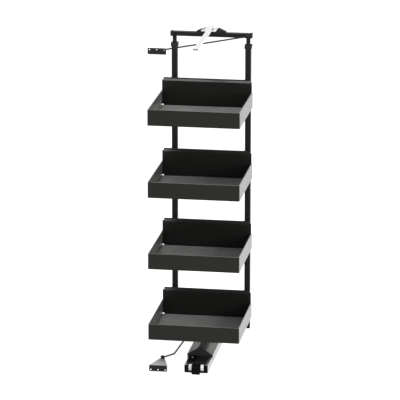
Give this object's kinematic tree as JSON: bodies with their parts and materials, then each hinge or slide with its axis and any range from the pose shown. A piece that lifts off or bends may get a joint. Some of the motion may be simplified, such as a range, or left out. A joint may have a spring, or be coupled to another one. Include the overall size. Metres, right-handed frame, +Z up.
{
  "type": "pull out pantry frame",
  "caption": "Tall pull-out larder frame with open sheet trays on two posts, a floor runner, a top guide rail, and rods with brackets that let the cabinet door pull it out.",
  "frame": {"origin": "centre of the floor runner's screw pattern, on the runner's underside, which lies on the cabinet's floor", "axes": "+Z up, +X to the right seen from the cabinet's front, +Y into the cabinet; the frame slides out along -Y"},
  "size_m": [0.48, 0.583, 1.7425],
  "materials": {
    "dark_steel": "satin black powder coat",
    "tray_steel": "satin anthracite lacquer",
    "black_steel": "black coat",
    "rod_steel": "grey zinc",
    "steel": "zinc",
    "runner_aluminium": "satin anodised",
    "white_steel": "white coat",
    "white_plastic": "white acetal",
    "grey_plastic": "grey",
    "black_plastic": "black, finely grained",
    "rubber": "black",
    "mat_rubber": "grey ribbed anti-slip mat"
  },
  "bodies": {
    "base": {"base_channel": "runner_aluminium", "front_cap": "black_plastic", "front_axle": "steel", "rear_buffers": "rubber"},
    "frame": {"moving_profile": "runner_aluminium", "roller_hangers": "steel", "runner_cover": "black_plastic", "carrier_tube": "dark_steel", "foot_bar": "dark_steel", "foot_bracket": "dark_steel", "rod_arm": "dark_steel", "post_left": "dark_steel", "post_right": "dark_steel", "post_plugs": "black_plastic", "collar_left": "black_plastic", "collar_right": "black_plastic"},
    "lever": {"release_lever": "black_plastic"},
    "head": {"inner_tube_left": "dark_steel", "inner_tube_right": "dark_steel", "glides": "white_plastic", "top_bar": "dark_steel", "bar_caps": "black_plastic", "guide_bracket": "black_plastic", "guide_pins": "steel", "rod_lug": "dark_steel"},
    "rail": {"guide_rail": "white_steel", "rail_stops": "grey_plastic", "rail_plate": "white_steel"},
    "upper_link": {"upper_rod": "rod_steel"},
    "upper_door_bracket": {"upper_bracket": "dark_steel", "upper_rivet": "steel"},
    "lower_link": {"lower_rod": "black_steel"},
    "lower_door_bracket": {"lower_bracket": "dark_steel", "lower_knob": "black_plastic"},
    "clamp_left": {"clamp_screw_left": "steel"},
    "clamp_right": {"clamp_screw_right": "steel"},
    "guide_wheel_front": {"guide_roller_front": "white_plastic"},
    "guide_wheel_rear": {"guide_roller_rear": "white_plastic"},
    "front_wheel_left": {"front_roller_left": "white_plastic"},
    "rear_wheel_left": {"rear_roller_left": "white_plastic"},
    "front_wheel_right": {"front_roller_right": "white_plastic"},
    "rear_wheel_right": {"rear_roller_right": "white_plastic"},
    "tray_1": {"tray_shell_1": "tray_steel", "tray_mat_1": "mat_rubber", "back_panel_1": "tray_steel", "tray_hangers_1": "dark_steel"},
    "tray_2": {"tray_shell_2": "tray_steel", "tray_mat_2": "mat_rubber", "back_panel_2": "tray_steel", "tray_hangers_2": "dark_steel"},
    "tray_3": {"tray_shell_3": "tray_steel", "tray_mat_3": "mat_rubber", "back_panel_3": "tray_steel", "tray_hangers_3": "dark_steel"},
    "tray_4": {"tray_shell_4": "tray_steel", "tray_mat_4": "mat_rubber", "back_panel_4": "tray_steel", "tray_hangers_4": "dark_steel"}
  },
  "joints": [
    {"name": "frame_slide", "type": "slide", "parent": "base", "child": "frame", "axis": [0, -1, 0], "range_m": [0, 0.21]},
    {"name": "front_roller_left_spin", "type": "hinge", "parent": "base", "child": "front_wheel_left", "pos_m": [-0.0315, -0.27, 0.025], "axis": [1, 0, 0], "range_deg": [0, 707.78]},
    {"name": "rear_roller_left_spin", "type": "hinge", "parent": "frame", "child": "rear_wheel_left", "pos_m": [-0.0535, 0.24, 0.0237], "axis": [1, 0, 0], "range_deg": [-802.15, 0]},
    {"name": "front_roller_right_spin", "type": "hinge", "parent": "base", "child": "front_wheel_right", "pos_m": [0.0315, -0.27, 0.025], "axis": [1, 0, 0], "range_deg": [0, 707.78]},
    {"name": "rear_roller_right_spin", "type": "hinge", "parent": "frame", "child": "rear_wheel_right", "pos_m": [0.0535, 0.24, 0.0237], "axis": [1, 0, 0], "range_deg": [-802.15, 0]},
    {"name": "release_lever_turn", "type": "hinge", "parent": "frame", "child": "lever", "pos_m": [-0.034, -0.193, 0.052], "axis": [0, 0, 1], "range_deg": [-60, 30]},
    {"name": "head_height", "type": "slide", "parent": "frame", "child": "head", "axis": [0, 0, 1], "range_m": [-0.02, 0.05]},
    {"name": "rail_slide", "type": "slide", "parent": "head", "child": "rail", "axis": [0, 1, 0], "range_m": [0, 0.2101]},
    {"name": "guide_roller_front_spin", "type": "hinge", "parent": "head", "child": "guide_wheel_front", "pos_m": [0, 0.228, 1.73165], "axis": [0, 0, 1], "range_deg": [0, 1028.4]},
    {"name": "guide_roller_rear_spin", "type": "hinge", "parent": "head", "child": "guide_wheel_rear", "pos_m": [0, 0.258, 1.73165], "axis": [0, 0, 1], "range_deg": [0, 1028.4]},
    {"name": "clamp_screw_left_turn", "type": "hinge", "parent": "frame", "child": "clamp_left", "pos_m": [-0.1953, 0.262, 1.6445], "axis": [0, 1, 0], "range_deg": [0, 540]},
    {"name": "clamp_screw_right_turn", "type": "hinge", "parent": "frame", "child": "clamp_right", "pos_m": [0.2143, 0.243, 1.6445], "axis": [1, 0, 0], "range_deg": [0, 540]},
    {"name": "upper_rod_swing", "type": "hinge", "parent": "head", "child": "upper_link", "pos_m": [0.195, 0.213, 1.6974], "axis": [0, 0, 1], "range_deg": [0, 5.01]},
    {"name": "upper_bracket_swing", "type": "hinge", "parent": "upper_link", "child": "upper_door_bracket", "pos_m": [-0.196, -0.174, 1.6974], "axis": [0, 0, 1], "range_deg": [-101.01, 0]},
    {"name": "lower_rod_swing", "type": "hinge", "parent": "frame", "child": "lower_link", "pos_m": [-0.124, 0.222, 0.0403], "axis": [0, 0, 1], "range_deg": [0, 5.01]},
    {"name": "lower_bracket_swing", "type": "hinge", "parent": "lower_link", "child": "lower_door_bracket", "pos_m": [-0.196, -0.174, 0.0403], "axis": [0, 0, 1], "range_deg": [-101.01, 0]},
    {"name": "tray_1_height", "type": "slide", "parent": "frame", "child": "tray_1", "axis": [0, 0, 1], "range_m": [-0.032, 0.032]},
    {"name": "tray_2_height", "type": "slide", "parent": "frame", "child": "tray_2", "axis": [0, 0, 1], "range_m": [-0.032, 0.032]},
    {"name": "tray_3_height", "type": "slide", "parent": "frame", "child": "tray_3", "axis": [0, 0, 1], "range_m": [-0.032, 0.032]},
    {"name": "tray_4_height", "type": "slide", "parent": "frame", "child": "tray_4", "axis": [0, 0, 1], "range_m": [-0.032, 0.032]}
  ],
  "couplings": [
    {"joint": "front_roller_left_spin", "follows": "frame_slide", "rad_per_m": 58.824},
    {"joint": "rear_roller_left_spin", "follows": "frame_slide", "rad_per_m": -66.667},
    {"joint": "front_roller_right_spin", "follows": "frame_slide", "rad_per_m": 58.824},
    {"joint": "rear_roller_right_spin", "follows": "frame_slide", "rad_per_m": -66.667},
    {"joint": "rail_slide", "follows": "frame_slide", "ratio": 1},
    {"joint": "guide_roller_front_spin", "follows": "frame_slide", "rad_per_m": 85.47},
    {"joint": "guide_roller_rear_spin", "follows": "frame_slide", "rad_per_m": 85.47},
    {"joint": "upper_rod_swing", "follows": "frame_slide", "rad_per_m": 0.41555},
    {"joint": "upper_bracket_swing", "follows": "frame_slide", "rad_per_m": -8.3942},
    {"joint": "lower_rod_swing", "follows": "frame_slide", "rad_per_m": 0.41555},
    {"joint": "lower_bracket_swing", "follows": "frame_slide", "rad_per_m": -8.3942}
  ]
}
